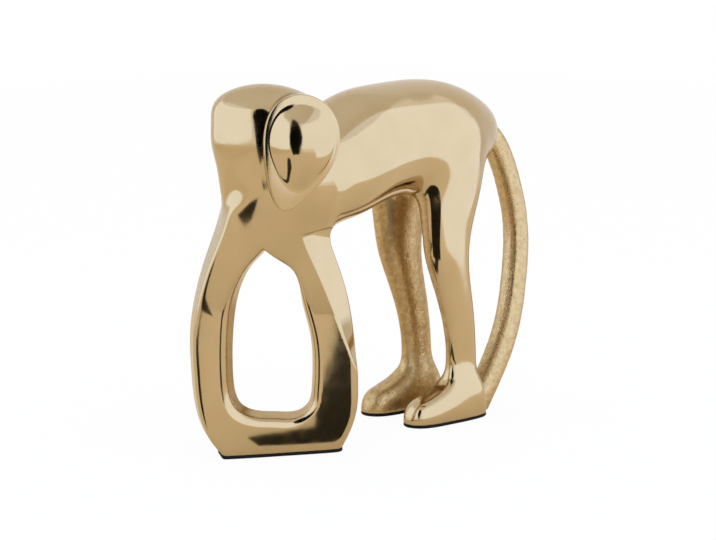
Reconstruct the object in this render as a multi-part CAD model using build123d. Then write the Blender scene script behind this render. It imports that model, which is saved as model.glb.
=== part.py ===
from build123d import *
import os
from math import cos, radians, sin

# A cast monkey on all fours that stands on felt pads. It faces -Y and its left side is +X.
# Lengths are in millimetres. The castings meet face to face, and tenons in sockets locate them.

# Felt pads
pad_thickness = 1.5

# Tenons, their sockets, and the overrun of every cut
tenon_clearance = 0.3
cut_overrun = 5.0

# Arm loop: both arms with joined hands, standing in an upright plane that is turned from the body's axis
loop_turn_degrees = 31.4
loop_width = 78.5
loop_height = 122.0
loop_thickness = 16.0
chest_thickness = 36.0
loop_face_reach = 72.0
hole_width = 39.5
hole_height = 77.0
hole_floor = 20.0
hole_offset = 4.0
hole_draft = 2.6
hole_skew = 2.0
shoulder_bevel = 16.0
loop_tenon_diameter = 11.0
loop_tenon_place = 16.5

# Torso: from the chest to the root of the tail
hip_height = 144.0
torso_length = 143.0
torso_width = 52.0
torso_depth = 57.0
chest_setback = 6.0
torso_sway = 11.0
hip_offset = 1.4

# Hind legs and feet
hip_setback = 100.0
leg_spacing = 32.0
leg_lean = 12.0
leg_stride = 2.0
hip_stride = -3.0
thigh_diameter = 33.0
shin_diameter = 16.0
leg_tenon_diameter = 12.0
foot_length = 56.0
foot_width = 19.5
foot_height = 26.0
foot_turn_degrees = 5.0

# Tail: bowed, from the rump to the back of the left heel
tail_width = 12.6
tail_depth = 12.6
tail_bow = 35.0
tail_root_reach = 6.0
tail_side_reach = 15.0
tail_tenon_diameter = 6.0
tail_tenon_length = 20.0

# Head and ears
head_length = 53.0
head_width = 38.0
head_height = 67.0
head_forward = 5.5
neck_overlap = 16.0
ear_width = 39.0
ear_height = 53.0
ear_rise = 2.5
ear_seat_depth = 11.0
ear_offset = 5.0
ear_lift = 37.5
groove_depth = 2.2
dome_width = 31.5
dome_height = 39.5
dome_rise = 6.5
dome_offset = 1.3
dome_lift = 2.8
ear_tenon_diameter = 9.0
ear_tenon_length = 5.0
ear_tenon_offset = 8.0

# Torso stations: place along it, sway to the left, rise over the hips, width, depth and turn towards the loop
torso_station_shares = [
    (0.00, 0.54, -0.22, 0.50, 0.56, 1.00),
    (0.09, 0.91, -0.17, 0.74, 0.92, 0.80),
    (0.23, 0.87, -0.08, 0.89, 1.04, 0.40),
    (0.34, 0.58, -0.03, 0.94, 1.00, 0.15),
    (0.45, 0.31, -0.01, 0.98, 0.99, 0.05),
    (0.64, 0.02, 0.00, 1.04, 0.97, 0.00),
    (0.76, 0.00, -0.01, 0.97, 0.91, 0.00),
    (0.86, 0.00, -0.02, 0.78, 0.73, 0.00),
    (0.93, 0.00, -0.01, 0.54, 0.49, 0.00),
    (0.98, 0.00, 0.00, 0.30, 0.28, 0.00),
]
torso_tip_share = 0.02

# Leg stations: height, lean backwards, and the part of the way from shin to thigh girth
leg_station_shares = [
    (0.04, 0.85, 0.20),
    (0.12, 0.90, 0.06),
    (0.22, 0.94, 0.00),
    (0.31, 0.83, 0.03),
    (0.40, 0.60, 0.12),
    (0.49, 0.28, 0.24),
    (0.58, 0.02, 0.42),
    (0.66, 0.00, 0.56),
    (0.74, 0.07, 0.78),
    (0.81, 0.16, 0.96),
    (0.90, 0.10, 1.12),
    (0.98, -0.10, 1.16),
]
leg_side_share = 0.68
leg_front_share = 1.20

# Foot stations from toe to heel: place, half width and height
foot_station_shares = [
    (0.05, 0.60, 0.32),
    (0.18, 0.90, 0.46),
    (0.40, 1.00, 0.62),
    (0.60, 1.00, 0.80),
    (0.78, 0.96, 0.84),
    (0.92, 0.80, 0.66),
]
foot_toe_share = 0.66

# Tail route from the rump down: height, bow backwards, and reach towards the left heel
tail_route_shares = [
    (1.02, -0.45, 0.00),
    (0.97, -0.17, 0.03),
    (0.90, 0.03, 0.07),
    (0.83, 0.16, 0.11),
    (0.76, 0.25, 0.16),
    (0.67, 0.32, 0.24),
    (0.59, 0.32, 0.32),
    (0.45, 0.21, 0.47),
    (0.34, 0.08, 0.58),
    (0.25, -0.10, 0.70),
    (0.165, -0.30, 0.80),
    (0.075, -0.58, 0.92),
    (0.00, -0.80, 0.98),
    (-0.06, -0.97, 1.00),
]

# Loop outline, left and right side from the base up, as shares of its width and height
loop_front_shares = [
    (-0.370, 0.00),
    (-0.480, 0.16),
    (-0.530, 0.33),
    (-0.536, 0.45),
    (-0.505, 0.60),
    (-0.432, 0.76),
    (-0.352, 0.89),
    (-0.300, 1.00),
]
loop_back_shares = [
    (0.362, 0.00),
    (0.440, 0.11),
    (0.452, 0.28),
    (0.446, 0.44),
    (0.405, 0.60),
    (0.345, 0.75),
    (0.315, 0.84),
    (0.300, 1.00),
]

# Thickness of the loop from its base to the chest: height, and part of the way to the chest thickness
loop_thickness_shares = [(-0.10, 0.00), (0.20, 0.02), (0.45, 0.00), (0.65, 0.10), (0.82, 0.42), (1.10, 1.00)]

# Hole outline: the left side from the top down to the floor, then the right side back up
hole_outline_shares = [
    (-0.20, 0.375),
    (-0.42, 0.17),
    (-0.50, -0.08),
    (-0.47, -0.36),
    (-0.30, -0.485),
    (0.00, -0.50),
    (0.30, -0.49),
    (0.47, -0.39),
    (0.495, -0.18),
    (0.41, 0.08),
    (0.20, 0.34),
]
hole_top_shares = (-0.06, 0.50)

# Bevel under the left shoulder, as shares of the loop's width, thickness and height
bevel_top_shares = [(0.13, 0.66), (0.335, 0.00), (0.60, 0.90)]
bevel_foot_shares = [(0.445, 0.46), (0.478, 0.00), (0.60, 0.60)]
bevel_height_shares = (0.86, 0.33)

# Head stations from the neck up: height, offset forwards, length and width
head_station_shares = [
    (0.00, 0.00, 0.62, 0.62),
    (0.14, -0.02, 0.68, 0.72),
    (0.28, -0.04, 0.77, 0.84),
    (0.45, -0.02, 0.89, 0.95),
    (0.62, 0.00, 0.98, 1.00),
    (0.75, 0.01, 0.99, 1.00),
    (0.86, 0.01, 0.92, 0.91),
    (0.94, 0.03, 0.71, 0.70),
    (0.98, 0.035, 0.44, 0.44),
    (1.00, 0.04, 0.16, 0.16),
]

# Ear outline from the top backwards and round, as shares of its width and height
ear_outline_shares = [
    (0.02, 0.50),
    (0.33, 0.41),
    (0.49, 0.16),
    (0.40, -0.12),
    (0.08, -0.39),
    (-0.20, -0.49),
    (-0.32, -0.36),
    (-0.39, -0.12),
    (-0.40, 0.17),
    (-0.26, 0.42),
]

# Heights of the tenons' ends, as shares of the loop's and the leg's height
loop_tenon_height_shares = (0.86, 1.03)
leg_tenon_height_shares = (0.78, 1.00)

# Directions along the loop (towards its back) and out of its left face
turn = radians(loop_turn_degrees)
loop_along = Vector(sin(turn), cos(turn), 0)
loop_out = Vector(cos(turn), -sin(turn), 0)
loop_plane = Plane(origin=(0, 0, 0), x_dir=loop_along, z_dir=loop_out)
metal_base = pad_thickness
loop_top = metal_base + loop_height
leg_height = hip_height - metal_base
body_axis_x = -hip_offset


def closed_spline_face(points):
    return make_face(Spline(*points, periodic=True))


def torso_axis_point(place, sway, rise):
    x = body_axis_x + torso_sway * sway
    y = chest_setback + torso_length * place
    return Vector(x, y, hip_height + torso_depth * rise)


def torso_body():
    sections = []
    for place, sway, rise, width, depth, turned in torso_station_shares:
        heading = Vector(sin(turn * turned), cos(turn * turned), 0)
        across = Vector(cos(turn * turned), -sin(turn * turned), 0)
        plane = Plane(origin=torso_axis_point(place, sway, rise), x_dir=across, z_dir=heading)
        sections.append(plane * Ellipse(torso_width * width / 2, torso_depth * depth / 2))
    sections.append(Vertex(torso_axis_point(1, 0, torso_tip_share)))
    return loft(sections)


def loop_section_plane(along, height, heading=loop_along):
    return Plane(origin=loop_along * along + Vector(0, 0, height), x_dir=heading, z_dir=(0, 0, 1))


def loop_slab():
    sections = []
    for rise, swell in loop_thickness_shares:
        thickness = loop_thickness + (chest_thickness - loop_thickness) * swell
        plane = loop_section_plane(0, metal_base + loop_height * rise)
        sections.append(plane * Ellipse(loop_face_reach, thickness / 2))
    return loft(sections)


def loop_outline():
    front = [(loop_width * u, metal_base + loop_height * v) for u, v in loop_front_shares]
    back = [(loop_width * u, metal_base + loop_height * v) for u, v in loop_back_shares]
    edges = Spline(*front) + Line(front[-1], back[-1]) + Spline(*reversed(back)) + Line(back[0], front[0])
    return loop_plane * make_face(edges)


def hole_section(spread, skew, out):
    width = hole_width + 2 * spread
    height = hole_height + 2 * spread
    middle = metal_base + hole_floor + hole_height / 2
    shift = -hole_offset + skew
    side = [(shift + width * u, middle + height * v) for u, v in hole_outline_shares]
    top = (shift + width * hole_top_shares[0], middle + height * hole_top_shares[1])
    return loop_plane.offset(out) * make_face(Spline(top, *side, top))


def loop_hole():
    reach = chest_thickness / 2
    spread = hole_draft * reach / (loop_thickness / 2)
    skew = hole_skew * reach / (loop_thickness / 2)
    middle = hole_section(0, 0, 0)
    left = loft([middle, hole_section(spread, -skew, reach)], ruled=True)
    right = loft([middle, hole_section(spread, skew, -reach)], ruled=True)
    return left + right


def bevel_cutter():
    sections = []
    for shares, rise in zip((bevel_top_shares, bevel_foot_shares), bevel_height_shares):
        points = [(loop_width * u, -shoulder_bevel * v) for u, v in shares]
        plane = loop_section_plane(0, metal_base + loop_height * rise)
        sections.append(plane * make_face(Polyline(*points, close=True)))
    return loft(sections, ruled=True)


def loop_body():
    body = extrude(loop_outline(), chest_thickness, both=True) & loop_slab()
    return body - loop_hole() - bevel_cutter()


def leg_axis_point(side, rise, lean):
    stride = leg_stride + (hip_stride - leg_stride) * rise if side < 0 else 0
    x = body_axis_x + side * leg_spacing / 2
    return Vector(x, hip_setback + stride + leg_lean * lean, metal_base + leg_height * rise)


def leg_column(side):
    sections = []
    for rise, lean, swell in leg_station_shares:
        girth = shin_diameter + (thigh_diameter - shin_diameter) * swell
        plane = Plane(origin=leg_axis_point(side, rise, lean), x_dir=(1, 0, 0), z_dir=(0, 0, 1))
        sections.append(plane * Ellipse(girth * leg_side_share / 2, girth * leg_front_share / 2))
    return loft(sections)


def foot_plane(side):
    ankle = leg_axis_point(side, 0, 1)
    turned = radians(foot_turn_degrees)
    return Plane(origin=ankle, x_dir=(cos(turned), -sin(turned), 0), z_dir=(sin(turned), cos(turned), 0))


def ground_cutter():
    size = 2 * (torso_length + loop_width)
    return Box(size, size, size, align=(Align.CENTER, Align.CENTER, Align.MAX)).moved(Pos(0, 0, metal_base))


def foot_body(side):
    toe = -foot_length * foot_toe_share
    plane = foot_plane(side)
    sections = [Vertex(plane.offset(toe).origin)]
    for place, width, height in foot_station_shares:
        shape = Ellipse(foot_width * width / 2, foot_height * height)
        sections.append(plane.offset(toe + foot_length * place) * shape)
    sections.append(Vertex(plane.offset(toe + foot_length).origin))
    return loft(sections)


def leg_body(side):
    return leg_column(side) + foot_body(side) - ground_cutter()


def tail_route():
    root = chest_setback + torso_length + tail_root_reach
    points = []
    for rise, bow, reach in tail_route_shares:
        x = body_axis_x + tail_side_reach * reach
        points.append((x, root + tail_bow * bow, metal_base + leg_height * rise))
    return points


def tail_body():
    points = tail_route()
    route = Spline(*points)
    sections = []
    for index in range(len(points)):
        place = route.param_at_point(points[index])
        plane = Plane(origin=route @ place, x_dir=(1, 0, 0), z_dir=route % place)
        sections.append(plane * Ellipse(tail_width / 2, tail_depth / 2))
    return loft(sections) - ground_cutter()


def head_body():
    bottom = loop_top - neck_overlap
    sections = []
    for rise, offset, length, width in head_station_shares:
        along = -head_forward + head_length * offset
        plane = loop_section_plane(along, bottom + head_height * rise, -loop_along)
        sections.append(plane * Ellipse(head_length * length / 2, head_width * width / 2))
    return loft(sections)


def ear_face(width, height, along, rise, out):
    points = [(along + width * u, rise + height * v) for u, v in ear_outline_shares]
    return loop_plane.offset(out) * closed_spline_face(points)


def left_ear_body():
    rim = head_width / 2 + ear_rise
    along = ear_offset
    rise = loop_top - neck_overlap + ear_lift
    disc = extrude(ear_face(ear_width, ear_height, along, rise, rim), -ear_seat_depth)
    groove = rim - groove_depth
    along = along + dome_offset
    rise = rise + dome_lift
    recess = extrude(ear_face(dome_width, dome_height, along, rise, groove), groove_depth + cut_overrun)
    bulge = extrude(ear_face(dome_width, dome_height, along, rise, groove), dome_rise)
    ball = scale(Sphere(dome_width / 2), by=(1, dome_height / dome_width, 2 * dome_rise / dome_width))
    return disc - recess + (bulge & loop_plane.offset(groove) * Pos(along, rise, 0) * ball)


def export_all(nodes):
    os.makedirs("parts", exist_ok=True)
    boxes = [shape.bounding_box() for shape in nodes.values()]
    low = Vector(min(box.min.X for box in boxes), min(box.min.Y for box in boxes), 0)
    high = Vector(max(box.max.X for box in boxes), max(box.max.Y for box in boxes), 0)
    for name, shape in nodes.items():
        export_step(Pos((low + high) * -0.5) * shape, f"parts/{name}.step")


def rod(start, end, diameter):
    way = end - start
    column = Cylinder(diameter / 2, way.length, align=(Align.CENTER, Align.CENTER, Align.MIN))
    return Plane(origin=start, z_dir=way) * column


def upright_rod(foot, heights, base, height, diameter):
    ends = [Vector(foot.X, foot.Y, base + height * share) for share in heights]
    return rod(ends[0], ends[1], diameter)


def loop_tenon(diameter):
    place = loop_along * loop_tenon_place
    return upright_rod(place, loop_tenon_height_shares, metal_base, loop_height, diameter)


def leg_tenon(side, diameter):
    place = leg_axis_point(side, 1, 0)
    return upright_rod(place, leg_tenon_height_shares, metal_base, leg_height, diameter)


def tail_tenon(diameter):
    outer, inner = [Vector(*point) for point in reversed(tail_route()[:3:2])]
    return rod(outer, outer + (inner - outer).normalized() * tail_tenon_length, diameter)


def ear_tenon(diameter):
    rim = head_width / 2 + ear_rise
    along = ear_offset - ear_tenon_offset
    place = loop_along * along + Vector(0, 0, loop_top - neck_overlap + ear_lift)
    outer = place + loop_out * (rim - groove_depth)
    return rod(outer, outer - loop_out * (ear_seat_depth + ear_tenon_length), diameter)


def mirrored_over_loop(shape):
    return mirror(shape, about=loop_plane)


def felt_pad(*castings):
    soles = [casting.faces().sort_by(Axis.Z)[0] for casting in castings]
    return extrude(Sketch() + soles, pad_thickness, dir=(0, 0, -1))


def socket(diameter):
    return diameter + 2 * tenon_clearance


def build_nodes():
    body = torso_body()
    arms = loop_body()
    skull = head_body()
    legs = {side: leg_body(side) for side in (1, -1)}
    ears = {1: left_ear_body() + ear_tenon(ear_tenon_diameter)}
    ears[-1] = mirrored_over_loop(ears[1])
    torso = body - loop_tenon(socket(loop_tenon_diameter)) - tail_tenon(socket(tail_tenon_diameter))
    for side in legs:
        torso = torso - leg_tenon(side, socket(leg_tenon_diameter))
        legs[side] = legs[side] - body + leg_tenon(side, leg_tenon_diameter)
    ear_socket = ear_tenon(socket(ear_tenon_diameter))
    head = skull - arms - body - ear_socket - mirrored_over_loop(ear_socket)
    for side in ears:
        ears[side] = ears[side] - head - body - arms
    tail = tail_body() - body - legs[1] + tail_tenon(tail_tenon_diameter)
    arms = arms - body + loop_tenon(loop_tenon_diameter)
    return {
        "torso": torso,
        "arm_loop": arms,
        "left_hind_leg": legs[1],
        "right_hind_leg": legs[-1],
        "tail": tail,
        "head": head,
        "left_ear": ears[1],
        "right_ear": ears[-1],
        "front_pad": felt_pad(arms),
        "left_foot_pad": felt_pad(legs[1], tail),
        "right_foot_pad": felt_pad(legs[-1]),
    }


nodes = build_nodes()
export_all(nodes)
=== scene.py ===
from math import cos, radians, sin

import bmesh
import bpy
import numpy as np
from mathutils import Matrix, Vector, noise


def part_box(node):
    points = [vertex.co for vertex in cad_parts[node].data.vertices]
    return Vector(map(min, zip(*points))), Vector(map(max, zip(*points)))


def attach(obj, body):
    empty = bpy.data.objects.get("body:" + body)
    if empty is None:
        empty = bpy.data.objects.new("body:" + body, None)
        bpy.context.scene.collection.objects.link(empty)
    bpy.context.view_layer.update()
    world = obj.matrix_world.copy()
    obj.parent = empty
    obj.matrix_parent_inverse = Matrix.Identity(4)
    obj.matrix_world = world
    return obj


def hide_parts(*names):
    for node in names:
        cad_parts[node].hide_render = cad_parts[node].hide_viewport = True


# The dressed monkey. Lengths are in millimetres, in the frame of the loop's base.
# It faces -Y, and its left is +X. The castings are one smooth field, cut apart at the joints.
# The tail, the ears and the pads are meshes of their own.
metres = 0.001

# Felt pads
pad_thickness = 1.5
pad_edge = 0.35
pad_points = 220
pad_ray_rounds = 24
pad_middle = -0.31

# Arm loop
loop_turn = radians(31.4)
loop_width = 78.5
loop_height = 122.0
loop_thickness = 16.0
chest_thickness = 28.0
loop_face_reach = 72.0
loop_bow_end_share = 0.9
loop_crease = 1.2
front_crease = 2.8
loop_back_round = 7.0
loop_top_round = 12.0
lip_reach = 3.6
lip_depth = 1.6
lip_top_share = 0.25
lip_end_share = 1.5
lip_heights = (66.0, 94.0)
hole_round = 2.0
bevel_top_round = 2.0
bevel_top_fall_share = 0.28
hole_width = 39.5
hole_height = 78.3
hole_floor = 18.5
hole_offset = 4.0
hole_draft = 2.6
hole_skew = 3.0
hole_points = 300
hole_net = 0.75
hole_margin = 32.0
shoulder_bevel = 16.0

# Torso
hip_height = 144.0
torso_length = 143.0
torso_width = 52.0
torso_depth = 57.0
chest_setback = 6.0
torso_sway = 11.0
hip_offset = 1.4
torso_ratio_shares = (0.9, 1.3)

# Hind legs and feet
hip_setback = 100.0
leg_spacing = 32.0
leg_lean = 12.0
leg_stride = 2.0
hip_stride = -3.0
thigh_diameter = 33.0
shin_diameter = 16.0
leg_side_share = 0.68
leg_front_share = 1.20
foot_length = 50.5
foot_width = 19.5
foot_height = 26.0
foot_turn = radians(5.0)
foot_toe_share = 0.73
foot_squareness = 2.6
foot_ratio_shares = (0.5, 1)
ankle_share = 0.12
leg_top_reach = 4.0
leg_top_round = 8.0

# Tail
tail_width = 12.6
tail_depth = 12.6
tail_bow = 35.0
tail_root_reach = 6.0
tail_side_reach = 15.0

# Head and ears
head_length = 53.0
head_width = 38.0
head_height = 67.0
head_forward = 5.5
neck_overlap = 16.0
head_ratio_shares = (0.9, 1.2)
ear_width = 39.0
ear_height = 53.0
ear_rise = 2.9
ear_seat_depth = 11.0
ear_offset = 5.0
ear_lift = 37.5
dome_width = 30.3
dome_height = 39.0
dome_rise = 6.6
dome_offset = 1.9
dome_lift = 2.7

# Blends where the castings flow into each other
loop_blend = 16.0
head_blend = 10.0
hip_blend = 14.0
crotch_blend = 4.0
ankle_blend = 9.0
sole_round = 0.6

# Torso stations: place along it, sway to the left, rise over the hips, width and depth
torso_station_shares = [
    (-0.05, 0.60, -0.23, 0.52, 0.56),
    (0.00, 0.80, -0.20, 0.70, 0.74),
    (0.09, 0.91, -0.145, 0.83, 0.97),
    (0.23, 0.86, -0.065, 0.91, 1.06),
    (0.34, 0.58, -0.02, 0.94, 0.99),
    (0.45, 0.31, 0.00, 0.98, 0.97),
    (0.64, 0.02, 0.00, 1.04, 0.97),
    (0.76, 0.00, -0.01, 0.97, 0.91),
    (0.86, 0.00, -0.02, 0.78, 0.73),
    (0.93, 0.00, -0.01, 0.54, 0.49),
    (0.98, 0.00, 0.00, 0.30, 0.28),
    (1.00, 0.00, 0.01, 0.00, 0.00),
]

# Leg stations: height, lean backwards, and the part of the way from shin to thigh girth
leg_station_shares = [
    (0.04, 0.85, 0.20),
    (0.12, 0.90, 0.06),
    (0.22, 0.94, 0.00),
    (0.31, 0.83, 0.03),
    (0.40, 0.60, 0.12),
    (0.49, 0.28, 0.24),
    (0.58, 0.02, 0.42),
    (0.66, 0.00, 0.56),
    (0.74, 0.07, 0.78),
    (0.81, 0.16, 0.95),
    (0.90, 0.12, 1.00),
    (0.98, -0.02, 0.86),
    (1.06, -0.10, 0.45),
]

# Foot stations from toe to heel: place, half width and height
foot_station_shares = [
    (0.00, 0.00, 0.00),
    (0.05, 0.60, 0.32),
    (0.18, 0.90, 0.46),
    (0.40, 1.00, 0.62),
    (0.60, 1.00, 0.80),
    (0.78, 0.96, 0.84),
    (0.92, 0.80, 0.66),
    (1.00, 0.00, 0.00),
]

# Tail route from the rump down: height, bow backwards, and reach towards the left heel
tail_route_shares = [
    (1.02, -0.45, 0.00),
    (0.97, -0.17, 0.03),
    (0.90, 0.03, 0.07),
    (0.83, 0.16, 0.11),
    (0.76, 0.25, 0.16),
    (0.67, 0.32, 0.24),
    (0.59, 0.32, 0.32),
    (0.45, 0.21, 0.47),
    (0.34, 0.08, 0.58),
    (0.25, -0.10, 0.70),
    (0.165, -0.34, 0.80),
    (0.075, -0.66, 0.92),
    (0.00, -0.92, 0.98),
    (-0.06, -1.09, 1.00),
]

# Loop outline, front and back side from the base up, as shares of its height and width
loop_front_shares = [
    (0.00, -0.362),
    (0.04, -0.424),
    (0.16, -0.500),
    (0.33, -0.530),
    (0.45, -0.536),
    (0.60, -0.505),
    (0.76, -0.432),
    (0.89, -0.352),
    (1.00, -0.300),
]
loop_back_shares = [
    (0.00, 0.368),
    (0.04, 0.407),
    (0.11, 0.452),
    (0.28, 0.472),
    (0.44, 0.468),
    (0.60, 0.424),
    (0.75, 0.345),
    (0.84, 0.290),
    (1.00, 0.290),
]

# Thickness of the loop: height, and part of the way to the chest thickness
loop_thickness_shares = [
    (-0.10, 0.00),
    (0.20, 0.02),
    (0.45, 0.00),
    (0.65, 0.10),
    (0.82, 0.42),
    (1.10, 1.00),
]

# Hole outline from its top down the front side, along the floor and up the back side
hole_outline_shares = [
    (-0.04, 0.50),
    (-0.12, 0.46),
    (-0.21, 0.415),
    (-0.32, 0.33),
    (-0.40, 0.22),
    (-0.445, 0.09),
    (-0.47, -0.08),
    (-0.47, -0.24),
    (-0.445, -0.36),
    (-0.38, -0.435),
    (-0.26, -0.475),
    (0.06, -0.50),
    (0.34, -0.495),
    (0.44, -0.455),
    (0.485, -0.36),
    (0.495, -0.18),
    (0.46, -0.01),
    (0.38, 0.15),
    (0.33, 0.30),
    (0.28, 0.37),
    (0.11, 0.44),
    (-0.04, 0.50),
]

# Bevel under the left shoulder: its edges at the top and at the foot, as shares of width and depth
bevel_top_shares = [(0.10, 0.66), (0.30, 0.00)]
bevel_foot_shares = [(0.44, 0.46), (0.478, 0.00)]
bevel_height_shares = (0.86, 0.33)

# Head stations from the neck up: height, offset forwards, length and width
head_station_shares = [
    (-0.22, 0.00, 0.00, 0.00),
    (-0.16, 0.00, 0.40, 0.40),
    (0.00, 0.00, 0.62, 0.62),
    (0.14, -0.02, 0.68, 0.72),
    (0.28, -0.03, 0.76, 0.84),
    (0.45, -0.01, 0.87, 0.95),
    (0.62, 0.00, 0.98, 1.00),
    (0.75, 0.01, 0.99, 1.00),
    (0.86, -0.01, 0.92, 0.91),
    (0.94, -0.025, 0.72, 0.70),
    (0.98, -0.035, 0.46, 0.44),
    (1.00, -0.04, 0.17, 0.16),
]

# Ear outline from the top backwards and round, as shares of its width and height
ear_outline_shares = [
    (0.02, 0.50),
    (0.33, 0.41),
    (0.49, 0.16),
    (0.40, -0.12),
    (0.08, -0.39),
    (-0.20, -0.49),
    (-0.32, -0.36),
    (-0.39, -0.12),
    (-0.40, 0.17),
    (-0.26, 0.42),
]

# Dome outline in the same order, as shares of the dome's width and height
dome_outline_shares = [
    (0.01, 0.50),
    (0.30, 0.43),
    (0.49, 0.14),
    (0.42, -0.15),
    (0.20, -0.37),
    (-0.10, -0.50),
    (-0.25, -0.43),
    (-0.39, -0.25),
    (-0.49, 0.02),
    (-0.44, 0.27),
    (-0.27, 0.44),
]

# Fineness of the field's mesh
net_step = 1.0
net_block = 4
net_margin = 5.0
field_chunk = 150000
probe_step = 0.02
crease_degrees = 9.0
crease_edge = 0.35
cast_edge = 0.75
station_slack = 0.00002
torso_slack = 0.00025
swell_slack = 0.0002
relax_share = 0.5
least_rate = 0.001
least_slope = 0.02
least_push = 0.05
least_length = 1e-12

# Box of the field's mesh, from the body's axis, the loop's middle, and the soles or the top of the head
box_low = (-45.0, -58.0, -4.0)
box_high = (55.0, 175.0, 6.0)

# Where the castings are cut apart
neck_front = 24.0
neck_height = 116.0
neck_tilt = radians(38)
neck_back = 27.0
shoulder_cut = 109.0
shoulder_fall_share = 0.2
hip_cut = 112.0
leg_region = 58.0
belly_region = 86.0
far_gap = 60.0
off_side = -1.0
cut_slack = 0.001
cap_sink_share = 0.3

# Sand-cast skin
wall_cast_share = 0.35
tail_cast_share = 0.75
least_cast_share = 0.02
split_cast_share = 0.3
right_turn_shares = (-0.55, -0.35)
left_turn_shares = (0.32, 0.18)
hip_fade = (12.0, -4.0)
instep_fade = 6.0
sole_fade = (0.4, 2.0)
wall_fade = (0.7, 0.2)
broad_size = 6.0
broad_grain = 0.10
pit_size = 1.9
pit_depth = 0.15
pit_share = 0.15
pit_offset = 31.7
fine_size = 0.8
fine_grain = 0.02
fine_offset = 7.3

# Meshes of the ears and the tail
ear_points = 160
edge_rings = 7
rim_rings = 34
rim_edge = 0.5
rim_drop = 0.12
rim_power = 2.0
dome_power = 2.3
dome_fillet = 1.3
dome_rings = 44
tail_points = 72
tail_rings = 300
tail_least_upright_share = 0.6
tail_ridge_share = 0.05
tail_ridge_angle = radians(45)

# Camera
camera_azimuth = radians(45)
camera_elevation = radians(10)
camera_distance = 904.76
camera_target = (14.7, 37.2, 85.0)
camera_sensor = 36.0
camera_lens = 95.53

# Softboxes: direction to the right of the camera's, distance, width and height, and lower edge
panels = {
    "left_panel": (-66.0, 440.0, (1100.0, 560.0), 66.0),
    "right_panel": (70.0, 290.0, (830.0, 470.0), 0.0),
}

# Floor, world and the cards that only mirrors see
floor_size = 4000.0
floor_colour = (0.9, 0.9, 0.9)
floor_glow_share = 0.93
world_fill = 1.0
panel_radiance = 0.40
panel_tint = (0.62, 0.86, 1.40)
slit_distance = 290.0
slit_corners = [
    (-12, 2), (14, 30), (36, 80), (56, 150), (60, 230), (48, 320), (22, 380), (-14, 395), (-50, 380),
    (-76, 320), (-88, 230), (-80, 150), (-56, 80), (-34, 30),
]
slit_colour = (0.004, 0.004, 0.004)
table_corners = [(5, 686), (135, 686), (180, 900), (-130, 900), (-60, 900), (-15, 900)]
table_lift = 0.2
table_colour = (0.80, 0.68, 0.51)
# Painted shadow: a dark sheet on the floor beside the figure where its shadow falls, which mirrors show on
# the loop's lower right
shade_lift = 0.4
shade_corners = [
    (18, -22), (30, -34), (38, -29), (46, -20), (62, -6), (80, -10), (99, -20), (167, -29), (217, -36),
    (258, -41), (300, -46), (312, -4), (192, 14), (77, 28), (40, 20),
]
shade_colour = (0.03, 0.027, 0.02)
shelf_height = 64.0
shelf_corners = [(10, -30), (47, -140), (700, -320), (700, -40), (200, 22), (60, 20), (36, 22)]
# Painted shade: dark strips on the floor and the shelf towards the camera, which mirrors show as dark
# lines down the loop's front crease
strip_corners = [(10, -62), (40, -119), (95, -203), (150, -287), (235, -203), (152, -147), (69, -91)]
shelf_strip_corners = [(4, -40), (46, -116), (76, -160), (94, -136), (58, -82)]
# Painted shade: a dark upright sheet before the left thigh, seen in mirrors as the shade between the legs
thigh_shade_ends = [(52, 80), (30, 58)]
thigh_shade_heights = (66.0, 103.0)
wall_distance = 480.0
wall_width = 1500.0
wall_height = 620.0
ceiling_radius = 640.0
ceiling_step = 30
wall_colour = (0.80, 0.74, 0.66)

# Colours, sheen and texture of the polished and the as-cast metal
polished_colours = [(0.585, 0.455, 0.265), (0.615, 0.48, 0.285)]
cast_colours = [(0.48, 0.33, 0.155), (0.63, 0.465, 0.235)]
pit_colour = (0.45, 0.38, 0.30)
polished_roughness = (0.075, 0.125)
cast_roughness = (0.38, 0.27)
cloud_size = 14.0
sheen_size = 5.0
swirl_size = 9.0
swirl_depth = 0.6
mottle_size = 2.6
speck_size = 1.0
speck_depth = 0.2

# Felt
felt_colours = [(0.004, 0.004, 0.004), (0.018, 0.017, 0.016)]
fibre_size = 0.35
fuzz_depth = 0.2

# Directions along the loop (towards its back), out of its left face and to the camera's right
along_loop = np.array([sin(loop_turn), cos(loop_turn), 0.0])
out_of_loop = np.array([cos(loop_turn), -sin(loop_turn), 0.0])
right_of_camera = np.array([cos(camera_azimuth), sin(camera_azimuth), 0])
metal_base = pad_thickness
loop_top = metal_base + loop_height
leg_height = hip_height - metal_base
body_axis_x = -hip_offset
head_bottom = loop_top - neck_overlap


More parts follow.
